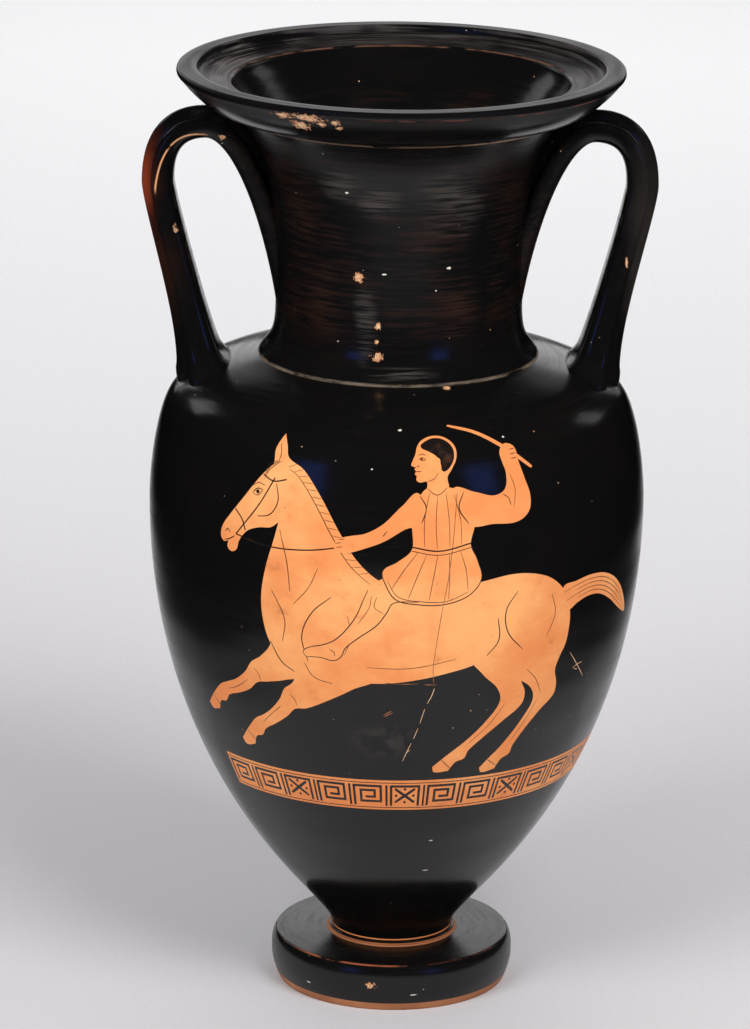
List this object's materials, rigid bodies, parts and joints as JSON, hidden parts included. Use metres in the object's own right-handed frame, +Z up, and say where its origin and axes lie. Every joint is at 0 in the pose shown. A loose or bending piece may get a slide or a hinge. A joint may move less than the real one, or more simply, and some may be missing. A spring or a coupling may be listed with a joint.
{
  "type": "neck amphora",
  "caption": "Tall glazed pottery jar with an egg-shaped body on a disc foot, a wide flat-lipped mouth and ribbed strap handles from shoulder to neck.",
  "frame": {"origin": "centre of the foot's resting ring, on the floor that the vessel stands on", "axes": "+Z up along the vessel's turning axis, +X towards one handle and -X towards the other, -Y towards the side that the viewer faces"},
  "size_m": [0.1808, 0.1754, 0.335],
  "materials": {
    "black_glaze": "gloss"
  },
  "bodies": {
    "root": {"amphora": "black_glaze"}
  },
  "joints": []
}
